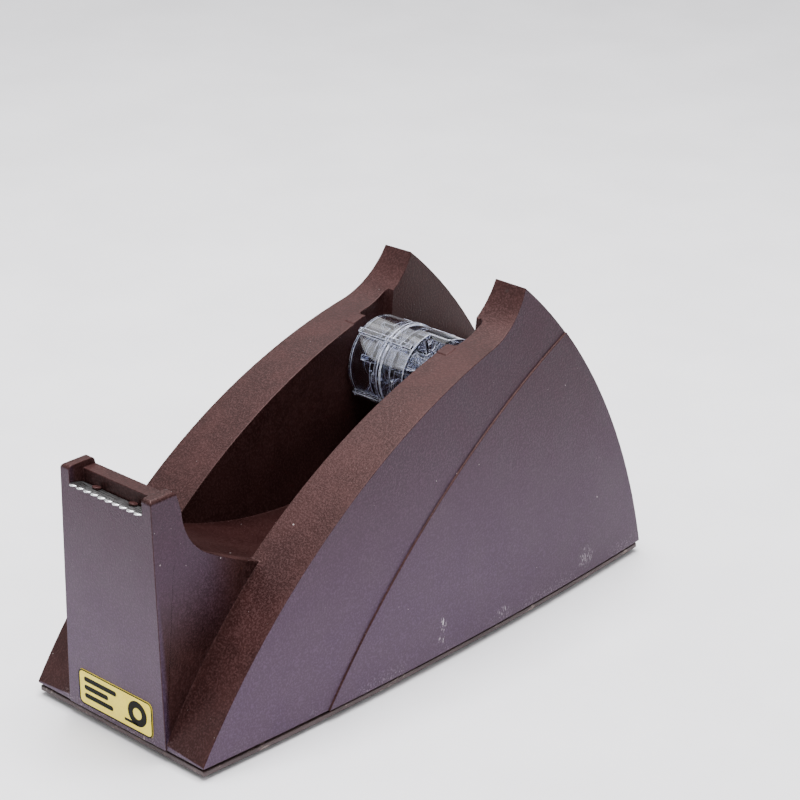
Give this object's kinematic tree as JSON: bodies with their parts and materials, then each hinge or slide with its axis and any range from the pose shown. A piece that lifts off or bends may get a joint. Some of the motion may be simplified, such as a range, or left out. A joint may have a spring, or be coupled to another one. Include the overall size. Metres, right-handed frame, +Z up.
{
  "type": "desk tape dispenser",
  "caption": "Weighted desk tape dispenser: curved open-top body, toothed blade on a front tower, and a clear hub on an axle that turns and lifts out to take a small-core roll.",
  "frame": {"origin": "middle of the overall length and width, on the surface that the rubber feet stand on", "axes": "+X to the right-hand side, -Y out of the tower's front face, +Z up"},
  "size_m": [0.0652, 0.1618, 0.087],
  "materials": {
    "body_plastic": "satin dark brown with a fine moulded grain",
    "plate_plastic": "matt brown",
    "weight_iron": "as cast",
    "blade_steel": "pressed and ground",
    "label_print": "printed film, pale yellow with a dark edge",
    "hub_clear": "clear moulded",
    "screw_steel": "zinc plated",
    "foot_rubber": "matt black"
  },
  "bodies": {
    "base": {"body_shell": "body_plastic", "base_plate": "plate_plastic", "ballast_centre": "weight_iron", "ballast_left": "weight_iron", "ballast_right": "weight_iron", "cutter_blade": "blade_steel", "front_label": "label_print", "base_screws": "screw_steel", "foot_front_left": "foot_rubber", "foot_front_right": "foot_rubber", "foot_rear_left": "foot_rubber", "foot_rear_right": "foot_rubber"},
    "axle": {"hub_axle": "hub_clear"},
    "hub": {"hub_half_left": "hub_clear", "hub_half_right": "hub_clear"}
  },
  "joints": [
    {"name": "hub_lift", "type": "slide", "parent": "base", "child": "axle", "axis": [0, 0.1219, 0.9925], "range_m": [0, 0.045]},
    {"name": "hub_spin", "type": "hinge", "parent": "axle", "child": "hub", "pos_m": [0, 0.02292, 0.0626], "axis": [1, 0, 0], "continuous": true}
  ]
}
